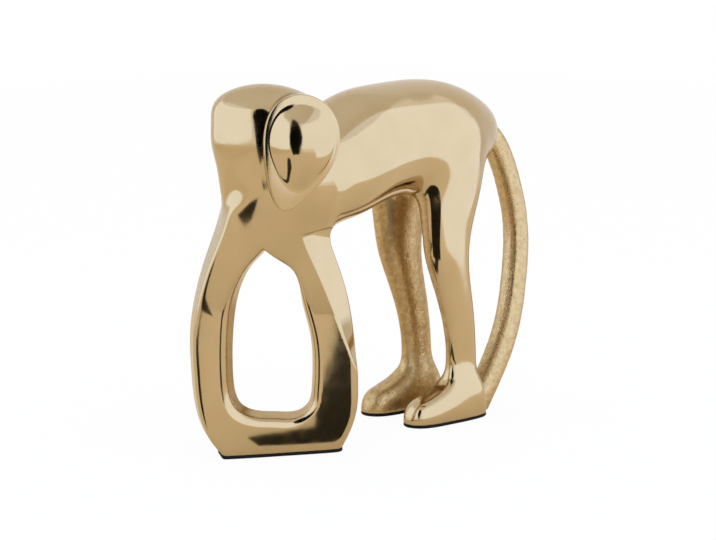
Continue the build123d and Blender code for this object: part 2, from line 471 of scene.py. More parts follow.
class Profile:
    """A smooth curve through (place, value) stations, slack enough to hide them. It runs on straight."""

    def __init__(self, stations, slack=station_slack):
        places, values = np.array(stations, float).T
        gaps = np.diff(places)
        inner = len(places) - 2
        bend = np.zeros((len(places), inner))
        stiff = np.zeros((inner, inner))
        for j in range(inner):
            bend[j : j + 3, j] = 1 / gaps[j], -1 / gaps[j] - 1 / gaps[j + 1], 1 / gaps[j + 1]
            stiff[j, j] = (gaps[j] + gaps[j + 1]) / 3
            if j:
                stiff[j, j - 1] = stiff[j - 1, j] = gaps[j] / 6
        turns = np.linalg.solve(stiff + slack * bend.T @ bend, bend.T @ values)
        self.places = places
        self.gaps = gaps
        self.values = values - slack * bend @ turns
        self.turns = np.concatenate([[0], turns, [0]])

    def parts(self, at):
        index = np.clip(np.searchsorted(self.places, at) - 1, 0, len(self.gaps) - 1)
        gap = self.gaps[index]
        right = (at - self.places[index]) / gap
        return index, gap, 1 - right, right

    def slope(self, at):
        index, gap, left, right = self.parts(np.clip(at, self.places[0], self.places[-1]))
        turning = (1 - 3 * left**2) * self.turns[index] + (3 * right**2 - 1) * self.turns[index + 1]
        return (self.values[index + 1] - self.values[index]) / gap + turning * gap / 6

    def __call__(self, at):
        inside = np.clip(at, self.places[0], self.places[-1])
        index, gap, left, right = self.parts(inside)
        turning = (left**3 - left) * self.turns[index] + (right**3 - right) * self.turns[index + 1]
        value = left * self.values[index] + right * self.values[index + 1] + turning * gap**2 / 6
        return value + self.slope(at) * (at - inside)


def columns(rows, place, value):
    return [(row[place], row[value]) for row in rows]


def squares(rows, place, value):
    return [(row[place], row[value] ** 2) for row in rows]


def ratios(rows, place, over, under):
    return [(row[place], row[over] / row[under]) for row in rows if row[under]]


def curve_through(points, count, closed):
    """Evenly spread points on a smooth curve through the given ones."""
    points = np.array(points, float)
    if closed:
        points = np.vstack([points, points, points, points[:1]])
    lengths = np.concatenate([[0], np.cumsum(np.linalg.norm(np.diff(points, axis=0), axis=1))])
    third = (len(points) - 1) // 3
    start, end = (lengths[third], lengths[2 * third]) if closed else (0, lengths[-1])
    at = np.linspace(start, end, count, endpoint=not closed)
    return np.stack([Profile(list(zip(lengths, points[:, axis])), 0.0)(at) for axis in (0, 1)], axis=1)


def smooth_step(low, high, value):
    share = np.clip((value - low) / (high - low), 0, 1)
    return share**2 * (3 - 2 * share)


def smooth_union(first, second, blend):
    near = np.maximum(blend - np.abs(first - second), 0) / blend
    return np.minimum(first, second) - near**3 * blend / 6


def smooth_cut(first, second, blend):
    return -smooth_union(-first, -second, blend)


def ellipse_gap(across, along, half_across, half_along):
    """Distance to an ellipse, right to first order."""
    ring = np.hypot(across / half_across, along / half_along)
    rate = np.hypot(across / half_across**2, along / half_along**2)
    return ring * (ring - 1) / np.maximum(rate, least_rate)


def taper_gap(across, up, half_across, half_up, girth, girth_slope, power=2.0):
    """Distance to a body of oval sections. Girth is their size squared, and is 0 at a round tip."""
    wide, high, size = np.abs(across / half_across), np.abs(up / half_up), np.abs(girth)
    value = wide**power + high**power - np.sign(girth) * size ** (power / 2)
    across_rate = power * wide ** (power - 1) / half_across
    up_rate = power * high ** (power - 1) / half_up
    along_rate = power / 2 * size ** (power / 2 - 1) * girth_slope
    return value / np.maximum(np.sqrt(across_rate**2 + up_rate**2 + along_rate**2), least_slope)


torso_sway_curve = Profile(columns(torso_station_shares, 0, 1), torso_slack)
torso_rise_curve = Profile(columns(torso_station_shares, 0, 2), torso_slack)
torso_girth_curve = Profile(squares(torso_station_shares, 0, 3), torso_slack / 3)
torso_ratio_curve = Profile(ratios(torso_station_shares, 0, 4, 3), torso_slack)


def torso_gap(points):
    place = (points[:, 1] - chest_setback) / torso_length
    across = points[:, 0] - body_axis_x - torso_sway * torso_sway_curve(place)
    up = points[:, 2] - hip_height - torso_depth * torso_rise_curve(place)
    half_up = torso_depth / 2 * np.clip(torso_ratio_curve(place), *torso_ratio_shares)
    slope = torso_girth_curve.slope(place) / torso_length
    return taper_gap(across, up, torso_width / 2, half_up, torso_girth_curve(place), slope)


leg_lean_curve = Profile(columns(leg_station_shares, 0, 1))
leg_swell_curve = Profile(columns(leg_station_shares, 0, 2))


def leg_axis(side, rise):
    stride = leg_stride + (hip_stride - leg_stride) * rise if side < 0 else 0
    return body_axis_x + side * leg_spacing / 2, hip_setback + stride + leg_lean * leg_lean_curve(rise)


def leg_column_gap(points, side):
    rise = np.clip((points[:, 2] - metal_base) / leg_height, 0, leg_station_shares[-1][0])
    x, y = leg_axis(side, rise)
    half = (shin_diameter + (thigh_diameter - shin_diameter) * leg_swell_curve(rise)) / 2
    gap = ellipse_gap(points[:, 0] - x, points[:, 1] - y, half * leg_side_share, half * leg_front_share)
    return smooth_cut(gap, points[:, 2] - hip_height - leg_top_reach, leg_top_round)


foot_girth_curve = Profile(squares(foot_station_shares, 0, 1))
foot_ratio_curve = Profile(ratios(foot_station_shares, 0, 2, 1))


def foot_gap(points, side):
    stride = leg_stride if side < 0 else 0
    x = points[:, 0] - body_axis_x - side * leg_spacing / 2
    y = points[:, 1] - hip_setback - stride - leg_lean
    across = x * cos(foot_turn) - y * sin(foot_turn)
    along = x * sin(foot_turn) + y * cos(foot_turn)
    place = along / foot_length + foot_toe_share
    half_up = foot_height * np.clip(foot_ratio_curve(place), *foot_ratio_shares)
    slope = foot_girth_curve.slope(place) / foot_length
    up = points[:, 2] - metal_base
    return taper_gap(across, up, foot_width / 2, half_up, foot_girth_curve(place), slope, foot_squareness)


def leg_gap(points, side):
    return smooth_union(leg_column_gap(points, side), foot_gap(points, side), ankle_blend)


loop_front_curve = Profile(loop_front_shares)
loop_back_curve = Profile(loop_back_shares)
loop_swell_curve = Profile(loop_thickness_shares, swell_slack)


def in_loop_frame(points):
    """Along the loop, out of its left face, and up."""
    return points @ along_loop, points @ out_of_loop, points[:, 2]


def side_gap(along, rise, curve, way):
    """Distance past the front (way -1) or the back (way 1) side of the loop."""
    lean = np.hypot(1, curve.slope(rise) * loop_width / loop_height)
    return way * (along - loop_width * curve(rise)) / lean


def lip_fade(up):
    """1 round the foot of the hole, less round its top, where the walls stand straighter."""
    return 1 - (1 - lip_top_share) * smooth_step(*lip_heights, up)


def slab_gap(along, out, up, hole):
    """Distance past the broad faces, which bow outwards and turn into the hole over a round lip."""
    swell = loop_swell_curve((up - metal_base) / loop_height)
    thickness = loop_thickness + (chest_thickness - loop_thickness) * swell
    bow = np.sqrt(1 - np.clip(along / loop_face_reach, -loop_bow_end_share, loop_bow_end_share) ** 2)
    lip = lip_depth * lip_fade(up) * np.clip(1 - hole / lip_reach, 0, lip_end_share) ** 2
    return np.abs(out) - thickness / 2 * bow + lip


def hole_outline():
    middle = metal_base + hole_floor + hole_height / 2
    points = [(-hole_offset + hole_width * u, middle + hole_height * v) for u, v in hole_outline_shares]
    return curve_through(points, hole_points, closed=False)


def polygon_gap(points, polygon):
    """Signed distance to a closed outline, negative inside it."""
    ways = np.roll(polygon, -1, axis=0) - polygon
    nearest = np.full(len(points), np.inf)
    inside = np.zeros(len(points), bool)
    for start, way in zip(polygon, ways):
        if not way.any():
            continue
        rel = points - start
        share = np.clip(rel @ way / (way @ way), 0, 1)
        nearest = np.minimum(nearest, ((rel - share[:, None] * way) ** 2).sum(1))
        crosses = (rel[:, 1] >= 0) != (rel[:, 1] - way[1] >= 0)
        if way[1]:
            inside ^= crosses & (rel[:, 0] < rel[:, 1] * way[0] / way[1])
    return np.where(inside, -1, 1) * np.sqrt(nearest)


class OutlineGap:
    """Signed distance to a closed outline, read smoothly from a fine net of samples."""

    def __init__(self, outline):
        self.low = outline.min(0) - hole_margin
        counts = ((outline.max(0) + hole_margin - self.low) / hole_net).astype(int)
        net = np.stack(np.meshgrid(*(np.arange(n) for n in counts), indexing="ij"), -1)
        self.gaps = polygon_gap(self.low + hole_net * net.reshape(-1, 2), outline).reshape(counts)

    def __call__(self, points):
        place = (points - self.low) / hole_net
        cell = np.clip(np.floor(place).astype(int), 1, np.array(self.gaps.shape) - 3)
        t = np.clip(place - cell, 0, 1)
        parts = ((1 - t) ** 3, 3 * t**3 - 6 * t**2 + 4, -3 * t**3 + 3 * t**2 + 3 * t + 1, t**3)
        total = np.zeros(len(points))
        for i, j in np.ndindex(4, 4):
            near = self.gaps[cell[:, 0] + i - 1, cell[:, 1] + j - 1]
            total += parts[i][:, 0] * parts[j][:, 1] * near / 36
        return total


hole_outline_gap = OutlineGap(hole_outline())


def hole_gap(along, out, up):
    """Distance to the hole's wall, negative in the hole, which widens from its middle to both faces."""
    share = out / (loop_thickness / 2)
    flat = np.stack([along + hole_skew * share, up], axis=1)
    return hole_outline_gap(flat) - hole_draft * lip_fade(up) * np.abs(share)


def bevel_gap(along, out, rise):
    """Distance past the bevel under the left shoulder, which ends in a crisp edge at its top."""
    top, foot = bevel_height_shares
    share = (rise - foot) / (top - foot)
    edges = []
    for (low_u, low_n), (high_u, high_n) in zip(bevel_foot_shares, bevel_top_shares):
        u = loop_width * (low_u + (high_u - low_u) * share)
        edges.append((u, shoulder_bevel * (low_n + (high_n - low_n) * share)))
    (u0, n0), (u1, n1) = edges
    past = ((along - u0) * (n0 - n1) + (out - n0) * (u1 - u0)) / np.hypot(u1 - u0, n1 - n0)
    past_edge = along - loop_width * bevel_top_shares[0][0]
    over_top = (rise - top) * loop_height - bevel_top_fall_share * past_edge
    return -smooth_cut(-past, over_top, bevel_top_round)


def loop_gap(points):
    along, out, up = in_loop_frame(points)
    rise = (up - metal_base) / loop_height
    body = slab_gap(along, out, up, hole_gap(along, out, up))
    body = smooth_cut(body, side_gap(along, rise, loop_back_curve, 1), loop_back_round)
    body = smooth_cut(body, bevel_gap(along, out, rise), loop_crease)
    body = smooth_cut(body, side_gap(along, rise, loop_front_curve, -1), front_crease)
    return smooth_cut(body, up - loop_top, loop_top_round)


def through_hole_gap(points):
    return hole_gap(*in_loop_frame(points))


head_offset_curve = Profile(columns(head_station_shares, 0, 1))
head_girth_curve = Profile(squares(head_station_shares, 0, 2))
head_ratio_curve = Profile(ratios(head_station_shares, 0, 3, 2))


def head_gap(points):
    along, out, up = in_loop_frame(points)
    rise = (up - head_bottom) / head_height
    along = along + head_forward - head_length * head_offset_curve(rise)
    half_out = head_width / 2 * np.clip(head_ratio_curve(rise), *head_ratio_shares)
    slope = head_girth_curve.slope(rise) / head_height
    return taper_gap(along, out, head_length / 2, half_out, head_girth_curve(rise), slope)


def where_near(points, near, gap):
    """The gap at the points that are near enough to matter, and a long way at the others."""
    values = np.full(len(points), far_gap)
    if near.any():
        values[near] = gap(points[near])
    return values


def both_legs_gap(points):
    return smooth_union(leg_gap(points, 1), leg_gap(points, -1), crotch_blend)


def casting_gap(points):
    y, z = points[:, 1], points[:, 2]
    front = (y < leg_region) & (np.abs(points @ out_of_loop) < chest_thickness * 2)
    arms = where_near(points, front, loop_gap)
    body = smooth_union(where_near(points, z > belly_region, torso_gap), arms, loop_blend)
    head = where_near(points, (y < leg_region) & (z > belly_region), head_gap)
    body = smooth_union(body, head, head_blend)
    body = smooth_cut(body, -where_near(points, front, through_hole_gap), hole_round)
    legs = where_near(points, y > leg_region, both_legs_gap)
    body = smooth_union(body, legs, hip_blend)
    return smooth_cut(body, metal_base - z, sole_round)


def in_chunks(field, points):
    pieces = [field(points[i : i + field_chunk]) for i in range(0, len(points), field_chunk)]
    return np.concatenate(pieces)


def unit(vectors):
    return vectors / np.maximum(np.linalg.norm(vectors, axis=1), least_length)[:, None]


def value_and_gradient(field, points):
    value = np.zeros(len(points))
    gradient = np.zeros((len(points), 3))
    for probe in ((1, -1, -1), (-1, -1, 1), (-1, 1, -1), (1, 1, 1)):
        sample = in_chunks(field, points + probe_step * np.array(probe))
        value += sample / 4
        gradient += sample[:, None] * np.array(probe) / (4 * probe_step)
    return value, gradient


def settle(field, points, rounds):
    """The points moved on to the surface, and its normals there."""
    for _ in range(rounds):
        value, gradient = value_and_gradient(field, points)
        size = np.maximum((gradient**2).sum(1), least_push)
        points = points - np.clip(value / size, -net_step, net_step)[:, None] * gradient
    return points, unit(value_and_gradient(field, points)[1])


def sampled_grid(field, low, high):
    blocks = np.ceil((high - low) / (net_step * net_block)).astype(int)
    axes = [low[a] + net_step * np.arange(blocks[a] * net_block) for a in range(3)]
    middles = [axis.reshape(-1, net_block).mean(1) for axis in axes]
    coarse_points = np.stack(np.meshgrid(*middles, indexing="ij"), -1).reshape(-1, 3)
    coarse = in_chunks(field, coarse_points).reshape(blocks)
    values = coarse.repeat(net_block, 0).repeat(net_block, 1).repeat(net_block, 2)
    near = np.abs(values) < net_block * net_step + net_margin
    index = np.argwhere(near)
    points = np.stack([axes[a][index[:, a]] for a in range(3)], axis=1)
    values[near] = in_chunks(field, points)
    return values


def cell_points(values, corners, crossed):
    """In each crossed cell, the middle of the spots where the surface crosses its edges, in grid steps."""
    index = np.argwhere(crossed)
    total = np.zeros((len(index), 3))
    hits = np.zeros(len(index))
    for corner in np.ndindex(2, 2, 2):
        for axis in range(3):
            if corner[axis]:
                continue
            other = list(corner)
            other[axis] = 1
            a = values[corners[corner]][crossed]
            b = values[corners[tuple(other)]][crossed]
            crossing = (a < 0) != (b < 0)
            share = np.where(crossing, a / np.where(crossing, a - b, 1), 0)
            spot = np.tile(np.array(corner, float), (len(index), 1))
            spot[:, axis] += share
            total += spot * crossing[:, None]
            hits += crossing
    return index + total / hits[:, None]


def axis_quads(inside, number, axis):
    """Outward quads round the grid edges along one axis that the surface crosses."""
    b, c = (axis + 1) % 3, (axis + 2) % 3
    first = [slice(1, None)] * 3
    first[axis] = slice(0, -1)
    start = inside[tuple(first)]
    crossing = start != inside[1:, 1:, 1:]
    at = np.argwhere(crossing)
    at[:, [b, c]] += 1
    last = np.array(number.shape) - 1
    ring = []
    for db, dc in ((0, 0), (1, 0), (1, 1), (0, 1)):
        cell = at.copy()
        cell[:, b] -= db
        cell[:, c] -= dc
        found = number[tuple(np.minimum(cell, last).T)]
        ring.append(np.where((cell <= last).all(1), found, -1))
    ring = np.stack(ring, axis=1)
    inward = ~start[crossing]
    ring[inward] = ring[inward][:, ::-1]
    return ring[(ring >= 0).all(1)]


def net_surface(field, low, high):
    """A quad mesh of the surface where the field is 0, with one vertex in each grid cell it passes."""
    values = sampled_grid(field, low, high)
    inside = values < 0
    cells = tuple(n - 1 for n in values.shape)
    corners = {}
    for corner in np.ndindex(2, 2, 2):
        corners[corner] = tuple(slice(c, c + n) for c, n in zip(corner, cells))
    count = sum(inside[corner].astype(np.int8) for corner in corners.values())
    crossed = (count > 0) & (count < len(corners))
    points = low + net_step * cell_points(values, corners, crossed)
    number = np.full(cells, -1)
    number[crossed] = np.arange(len(points))
    return points, np.concatenate([axis_quads(inside, number, axis) for axis in range(3)])


def relaxed(points, quads, normals, rounds):
    """The points slid along the surface towards their neighbours' middle."""
    edges = np.concatenate([quads[:, [i, (i + 1) % 4]] for i in range(4)])
    edges = np.concatenate([edges, edges[:, ::-1]])
    valence = np.bincount(edges[:, 0], minlength=len(points))
    for _ in range(rounds):
        sums = [np.bincount(edges[:, 0], points[edges[:, 1], a], len(points)) for a in range(3)]
        move = np.stack(sums, axis=1) / valence[:, None] - points
        move -= (move * normals).sum(1)[:, None] * normals
        points = points + relax_share * move
    return points


def mesh_points(bm):
    bm.verts.index_update()
    return np.array([v.co for v in bm.verts])


def move_verts(bm, points):
    for vert, point in zip(bm.verts, points):
        vert.co = point


def refine(bm, wanted):
    """Splits the edges that wanted picks, and leaves a mesh of triangles on the surface."""
    points, normals = settle(casting_gap, mesh_points(bm), 1)
    edges = list(bm.edges)
    ends = np.array([(e.verts[0].index, e.verts[1].index) for e in edges])
    picked = wanted(points, normals, ends)
    bmesh.ops.subdivide_edges(bm, edges=[e for e, p in zip(edges, picked) if p], cuts=1)
    bmesh.ops.triangulate(bm, faces=[f for f in bm.faces if len(f.verts) > 3])
    move_verts(bm, settle(casting_gap, mesh_points(bm), 2)[0])


def edge_lengths(points, ends):
    return np.linalg.norm(points[ends[:, 0]] - points[ends[:, 1]], axis=1)


def at_creases(points, normals, ends):
    turn = (normals[ends[:, 0]] * normals[ends[:, 1]]).sum(1)
    return (turn < cos(radians(crease_degrees))) & (edge_lengths(points, ends) > crease_edge)


def at_cast_faces(points, normals, ends):
    rough = cast_share(points, normals)[ends].mean(1)
    return (rough > split_cast_share) & (edge_lengths(points, ends) > cast_edge)


def cast_share(points, normals):
    """1 where the surface was left as it came from the sand, 0 where it was polished."""
    behind = points[:, 1] > leg_region
    up = points[:, 2]
    below_hips = smooth_step(hip_cut + hip_fade[0], hip_cut + hip_fade[1], up) * behind
    side = points[:, 0] - body_axis_x
    right = smooth_step(*right_turn_shares, normals[:, 0]) * (side < 0)
    left = smooth_step(*left_turn_shares, normals[:, 0]) * (side > 0)
    share = below_hips * (right + left * smooth_step(foot_height, foot_height + instep_fade, up))
    front = ~behind & (up < loop_top) & (up > metal_base + hole_floor / 2)
    share[front] = wall_cast_share * smooth_step(*wall_fade, np.abs(through_hole_gap(points[front])))
    return share


def casting_mesh():
    """All the castings as one closed bmesh of triangles, in the loop's frame."""
    low = np.array([body_axis_x, 0, metal_base]) + box_low
    high = np.array([body_axis_x, 0, head_bottom + head_height]) + box_high
    points, quads = net_surface(casting_gap, low, high)
    points, normals = settle(casting_gap, points, 2)
    points = relaxed(points, quads, normals, 4)
    points = settle(casting_gap, points, 1)[0]
    mesh = bpy.data.meshes.new("castings")
    mesh.from_pydata(points, [], quads)
    bm = bmesh.new()
    bm.from_mesh(mesh)
    bpy.data.meshes.remove(mesh)
    refine(bm, at_creases)
    refine(bm, at_creases)
    refine(bm, at_cast_faces)
    return bm


def neck_side(points):
    along = points @ along_loop
    over = (along + neck_front) * -sin(neck_tilt) + (points[:, 2] - neck_height) * cos(neck_tilt)
    return np.minimum(over, neck_back - along)


def shoulder_side(points):
    along = points @ along_loop
    drop = shoulder_cut - shoulder_fall_share * along - points[:, 2]
    return np.where(points[:, 1] < leg_region, drop, off_side)


def hip_side(points):
    return np.where(points[:, 1] > leg_region, hip_cut - points[:, 2], off_side)


def split_along(bm, side):
    """Cuts the mesh along the line where the side function is 0."""
    values = side(mesh_points(bm))
    values[np.abs(values) < cut_slack] = cut_slack
    cut = []
    for edge in list(bm.edges):
        a, b = edge.verts
        va, vb = values[a.index], values[b.index]
        if (va < 0) != (vb < 0):
            cut.append((edge, a, va / (va - vb)))
    made = [bmesh.utils.edge_split(edge, vert, share)[1] for edge, vert, share in cut]
    bmesh.ops.connect_verts(bm, verts=made)
    bmesh.ops.triangulate(bm, faces=[f for f in bm.faces if len(f.verts) > 3])


def casting_names(points):
    names = np.full(len(points), "torso", dtype="U16")
    names[neck_side(points) > 0] = "head"
    names[shoulder_side(points) > 0] = "arm_loop"
    names[(hip_side(points) > 0) & (points[:, 0] > body_axis_x)] = "left_hind_leg"
    names[(hip_side(points) > 0) & (points[:, 0] < body_axis_x)] = "right_hind_leg"
    return names


def close_ends(points, faces):
    """Shallow cones of triangles that close the open rings of a cut piece, sunk into the piece."""
    edges = {}
    for a, b, c in faces:
        for pair in ((a, b), (b, c), (c, a)):
            edges[pair] = True
    onward = {}
    for a, b in edges:
        if (b, a) not in edges:
            onward.setdefault(b, []).append(a)
    middles, fans = [], []
    while any(onward.values()):
        start = next(vertex for vertex, steps in onward.items() if steps)
        ring = [start]
        step = onward[start].pop()
        while step != start:
            ring.append(step)
            step = onward[step].pop()
        middle = points[ring].mean(0)
        way = np.cross(points[ring] - middle, np.roll(points[ring], -1, axis=0) - middle).sum(0)
        reach = np.linalg.norm(points[ring] - middle, axis=1).mean()
        middles.append(middle - way / np.linalg.norm(way) * reach * cap_sink_share)
        hub = len(points) + len(middles) - 1
        fans += [(hub, ring[i - 1], ring[i]) for i in range(len(ring))]
    return np.array(middles), np.array(fans)


def grain(points, size):
    return np.array([noise.noise(Vector(p) / size) for p in points])


def cast_grain(points):
    """Sand-cast skin: broad unevenness with shallow pits and a fine tooth."""
    broad = broad_grain * grain(points, broad_size)
    pits = pit_depth * np.minimum(grain(points + pit_offset, pit_size) + pit_share, 0)
    return broad + pits + fine_grain * grain(points + fine_offset, fine_size)


def add_object(name, data):
    made = bpy.data.objects.new(name, data)
    bpy.context.scene.collection.objects.link(made)
    return made


def add_piece(node_name, ending, points, faces, material, normals=None, share=None):
    """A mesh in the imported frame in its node's place, with its corner normals and its as-cast share."""
    mesh = bpy.data.meshes.new(node_name + ending)
    mesh.from_pydata(points * metres + shift, [], faces.tolist())
    mesh.polygons.foreach_set("use_smooth", np.ones(len(mesh.polygons), bool))
    if share is not None:
        mesh.attributes.new("cast", "FLOAT", "POINT").data.foreach_set("value", share.astype(np.float32))
    mesh.materials.append(material)
    mesh.update()
    if normals is not None:
        mesh.normals_split_custom_set(normals)
    piece = add_object(node_name + ending, mesh)
    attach(piece, "root")
    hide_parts(node_name)


def face_normals(points, faces):
    a, b, c = (points[faces[:, i]] for i in range(3))
    return np.cross(b - a, c - a)


def vertex_normals(points, faces):
    flat = face_normals(points, faces)
    total = np.zeros((len(points), 3))
    for corner, axis in np.ndindex(3, 3):
        total[:, axis] += np.bincount(faces[:, corner], flat[:, axis], len(points))
    return unit(total)


def add_castings(material):
    bm = casting_mesh()
    for side in (neck_side, shoulder_side, hip_side):
        split_along(bm, side)
    points, normals = settle(casting_gap, mesh_points(bm), 1)
    faces = np.array([[v.index for v in f.verts] for f in bm.faces])
    bm.free()
    share = cast_share(points, normals)
    share = share * smooth_step(metal_base + sole_fade[0], metal_base + sole_fade[1], points[:, 2])
    rough = share > least_cast_share
    bump = np.zeros(len(points))
    bump[rough] = share[rough] * cast_grain(points[rough])
    points = points + normals * bump[:, None]
    normals = unit(normals + (vertex_normals(points, faces) - normals) * share[:, None])
    names = casting_names(points[faces].mean(1))
    for name in np.unique(names):
        add_casting(str(name), points, faces[names == name], normals, share, material)


def add_casting(name, points, faces, normals, share, material):
    used, own = np.unique(faces, return_inverse=True)
    own = own.reshape(-1, 3)
    middles, fans = close_ends(points[used], own)
    piece_points = np.vstack([points[used], middles])
    piece_share = np.concatenate([share[used], np.zeros(len(middles))])
    flat = unit(face_normals(piece_points, fans))
    corners = np.vstack([normals[used][own.ravel()], flat.repeat(3, axis=0)])
    faces = np.vstack([own, fans])
    add_piece(name, "_casting", piece_points, faces, material, corners, piece_share)


def ring_faces(rings, count):
    """Triangles between rings of equal point counts. The two points after the rings close their ends."""
    faces = []
    for r in range(rings - 1):
        for i in range(count):
            a, b = r * count + i, r * count + (i + 1) % count
            faces += [(a, b, b + count), (a, b + count, a + count)]
    hub = rings * count
    for i in range(count):
        j = (i + 1) % count
        faces += [(hub, j, i), (hub + 1, hub - count + i, hub - count + j)]
    return np.array(faces)


def polar_outline(shares, width, height, middle):
    """The distance from the middle to an ear-shaped outline, for evenly spread directions."""
    outline = curve_through([(width * u, height * v) for u, v in shares], 4 * ear_points, True) - middle
    angles = np.unwrap(np.arctan2(outline[:, 1], outline[:, 0]))
    lengths = np.linalg.norm(outline, axis=1)
    order = np.argsort(np.mod(angles, 2 * np.pi))
    wanted = np.linspace(0, 2 * np.pi, ear_points, endpoint=False)
    return wanted, np.interp(wanted, np.mod(angles, 2 * np.pi)[order], lengths[order], period=2 * np.pi)


def ear_rings():
    """Rings of (along, up, out) from the seat in the head over the rim to the top of the dome."""
    middle = np.array([dome_offset, dome_lift])
    angles, outer = polar_outline(ear_outline_shares, ear_width, ear_height, middle)
    inner = polar_outline(dome_outline_shares, dome_width, dome_height, np.zeros(2))[1]
    ways = np.stack([np.cos(angles), np.sin(angles)], axis=1)
    rim = head_width / 2 + ear_rise
    rows = [(outer, rim - ear_seat_depth), (outer, rim - rim_drop - 3 * rim_edge)]
    for angle in np.linspace(0, np.pi / 2, edge_rings):
        rows.append((outer - rim_edge * (1 - cos(angle)), rim - rim_drop - rim_edge * (1 - sin(angle))))
    for share in np.linspace(0, 1, rim_rings)[1:]:
        radius = outer - rim_edge + (inner - outer + rim_edge) * share
        dome = dome_rise * (1 - (radius / inner) ** dome_power)
        rows.append((radius, rim + smooth_cut(dome, -rim_drop * (1 - share) ** rim_power, dome_fillet)))
    for share in np.linspace(1, 0, dome_rings)[1:-1]:
        radius = (inner.mean() * (1 - share**2) + inner * share**2) * share
        rows.append((radius, rim + smooth_cut(dome_rise * (1 - share**dome_power), 0, dome_fillet)))
    rings = [(middle + ways * radius[:, None], out) for radius, out in rows]
    return rings, (middle, rim + dome_rise)


def add_ear(name, side, material):
    rings, (apex, apex_out) = ear_rings()
    flat = np.vstack([np.column_stack([ring, np.zeros(len(ring)) + out]) for ring, out in rings])
    seat = np.append(rings[0][0].mean(0), rings[0][1])
    flat = np.vstack([flat, seat, np.append(apex, apex_out)])
    base = head_bottom + ear_lift
    points = flat[:, :1] * along_loop + ear_offset * along_loop + side * flat[:, 2:] * out_of_loop
    points[:, 2] = base + flat[:, 1]
    faces = ring_faces(len(rings), ear_points)
    if side > 0:
        faces = faces[:, ::-1]
    add_piece(name, "_casting", points, faces, material)


def tail_curves():
    rows = [(-rise, tail_bow * bow, tail_side_reach * reach) for rise, bow, reach in tail_route_shares]
    return Profile(columns(rows, 0, 1)), Profile(columns(rows, 0, 2))


def tail_point(drop):
    bow_curve, reach_curve = tail_curves()
    root = chest_setback + torso_length + tail_root_reach
    spot = [body_axis_x + reach_curve(drop), root + bow_curve(drop), metal_base - leg_height * drop]
    return np.stack(spot, axis=-1)


def add_tail(material):
    drops = np.linspace(-tail_route_shares[0][0], 0.0, tail_rings)
    spine = tail_point(drops)
    ways = np.gradient(spine, axis=0)
    upright = np.abs(ways[:, 2]) / np.linalg.norm(ways, axis=1)
    depth = tail_depth / np.maximum(upright, tail_least_upright_share)
    angles = np.linspace(0, 2 * np.pi, tail_points, endpoint=False)
    ridge = 1 + tail_ridge_share * np.cos(4 * (angles - tail_ridge_angle))
    rings = np.repeat(spine[:, None], tail_points, axis=1)
    rings[:, :, 0] += tail_width / 2 * np.cos(angles) * ridge
    rings[:, :, 1] += depth[:, None] / 2 * np.sin(angles) * ridge
    points = np.vstack([rings.reshape(-1, 3), spine[:1], spine[-1:]])
    faces = ring_faces(tail_rings, tail_points)[:, ::-1]
    normals = vertex_normals(points, faces)
    grain_share = smooth_step(metal_base, metal_base + sole_fade[1], points[:, 2])
    points = points + normals * (grain_share * cast_grain(points))[:, None]
    share = np.full(len(points), tail_cast_share)
    add_piece("tail", "_casting", points, faces, material, share=share)


def sole_gap(points):
    """The castings and the tail's end, as the felt meets them."""
    across, along = (points - tail_point(np.array(0.0))).T[:2]
    tail = ellipse_gap(across, along, tail_width / 2, tail_depth / 2)
    return np.minimum(casting_gap(points), tail)


def sole_outline(centre, reach, side):
    """The outline of a sole, found along rays from its centre. A foot's stays on its side of the body."""
    angles = np.linspace(0, 2 * np.pi, pad_points, endpoint=False)
    ways = np.stack([np.cos(angles), np.sin(angles), 0 * angles], axis=1)
    origin = np.append(centre, metal_base + sole_round)
    near, far = np.zeros(pad_points), np.full(pad_points, reach)
    for _ in range(pad_ray_rounds):
        middle = (near + far) / 2
        spots = origin + ways * middle[:, None]
        inside = (sole_gap(spots) < 0) & (side * (spots[:, 0] - body_axis_x) >= 0)
        near, far = np.where(inside, middle, near), np.where(inside, far, middle)
    return origin[:2] + ways[:, :2] * near[:, None]


def add_pad(name, centre, reach, side, material):
    outline = sole_outline(centre, reach, side)
    middle = outline.mean(0)
    inset = outline + (middle - outline) * (pad_edge / np.linalg.norm(middle - outline, axis=1))[:, None]
    levels = [(inset, 0), (outline, pad_edge), (outline, pad_thickness - pad_edge), (inset, pad_thickness)]
    rings = [np.column_stack([ring, np.full(len(ring), float(up))]) for ring, up in levels]
    points = np.vstack(rings + [np.append(middle, 0.0), np.append(middle, pad_thickness)])
    add_piece(name, "_felt", points, ring_faces(len(levels), pad_points), material)


def add_pads(material):
    add_pad("front_pad", np.zeros(2), loop_width, 0, material)
    for name, side in (("left_foot_pad", 1), ("right_foot_pad", -1)):
        centre = np.array(leg_axis(side, np.array(ankle_share)))
        add_pad(name, centre, foot_length, side, material)


def place_in_frame():
    """From the loop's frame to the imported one: the middle of the loop's pad is the same in both."""
    low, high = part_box("front_pad")
    return np.array((low + high) / 2) * [1, 1, 0] - along_loop * pad_middle * metres


def link(tree, outlet, inlet):
    tree.links.new(outlet, inlet)


def node(tree, kind, **settings):
    made = tree.nodes.new(kind)
    for name, value in settings.items():
        setattr(made, name, value)
    return made


def new_material(name):
    material = bpy.data.materials.new(name)
    material.use_nodes = True
    return material, material.node_tree, material.node_tree.nodes["Principled BSDF"]


def set_inputs(shader, values):
    for name, value in values.items():
        shader.inputs[name].default_value = value


def noise_at(tree, size, detail, roughness=0.5):
    """Noise with features of a size, in the object's own frame."""
    texture = node(tree, "ShaderNodeTexNoise")
    set_inputs(texture, {"Scale": 1 / (size * metres), "Detail": detail, "Roughness": roughness})
    link(tree, node(tree, "ShaderNodeTexCoord").outputs["Object"], texture.inputs["Vector"])
    return texture.outputs["Fac"]


